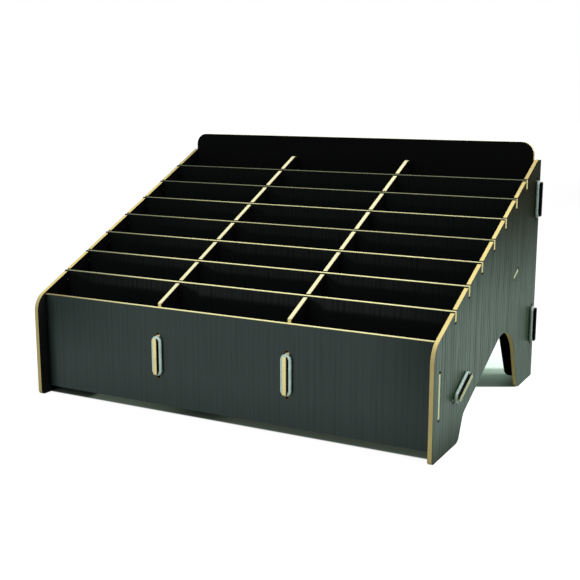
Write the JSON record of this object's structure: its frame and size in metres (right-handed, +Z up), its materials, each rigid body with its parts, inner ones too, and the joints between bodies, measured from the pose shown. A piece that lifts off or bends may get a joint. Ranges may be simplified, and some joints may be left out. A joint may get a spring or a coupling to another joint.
{
  "type": "slotted caddy",
  "caption": "Sloping slotted caddy of thin boards on two footed side panels, with divider walls dropped into slots to form open-topped cells and rubber rings locking the tabs.",
  "frame": {"origin": "on the ground, under the middle of the caddy's box", "axes": "+X to the right seen from the front, +Y to the back, +Z up"},
  "size_m": [0.3082, 0.218, 0.1781],
  "materials": {
    "board": "black embossed laminate on fibreboard with cream cut edges",
    "rubber": "pale grey-green satin rubber"
  },
  "bodies": {
    "rack": {"left_side_panel": "board", "right_side_panel": "board", "front_panel": "board", "back_panel": "board", "floor_board": "board", "left_column_divider": "board", "right_column_divider": "board", "front_left_ring": "rubber", "front_right_ring": "rubber", "back_left_ring": "rubber", "back_right_ring": "rubber", "left_floor_ring": "rubber", "left_low_ring": "rubber", "left_high_ring": "rubber", "right_floor_ring": "rubber", "right_low_ring": "rubber", "right_high_ring": "rubber"},
    "row_1": {"row_divider_1": "board"},
    "row_2": {"row_divider_2": "board"},
    "row_3": {"row_divider_3": "board"},
    "row_4": {"row_divider_4": "board"},
    "row_5": {"row_divider_5": "board"},
    "row_6": {"row_divider_6": "board"},
    "row_7": {"row_divider_7": "board"}
  },
  "joints": [
    {"name": "lift_row_1", "type": "slide", "parent": "rack", "child": "row_1", "axis": [0, 0, 1], "range_m": [0, 0.06]},
    {"name": "lift_row_2", "type": "slide", "parent": "rack", "child": "row_2", "axis": [0, 0, 1], "range_m": [0, 0.06]},
    {"name": "lift_row_3", "type": "slide", "parent": "rack", "child": "row_3", "axis": [0, 0, 1], "range_m": [0, 0.06]},
    {"name": "lift_row_4", "type": "slide", "parent": "rack", "child": "row_4", "axis": [0, 0, 1], "range_m": [0, 0.06]},
    {"name": "lift_row_5", "type": "slide", "parent": "rack", "child": "row_5", "axis": [0, 0, 1], "range_m": [0, 0.06]},
    {"name": "lift_row_6", "type": "slide", "parent": "rack", "child": "row_6", "axis": [0, 0, 1], "range_m": [0, 0.06]},
    {"name": "lift_row_7", "type": "slide", "parent": "rack", "child": "row_7", "axis": [0, 0, 1], "range_m": [0, 0.06]}
  ]
}
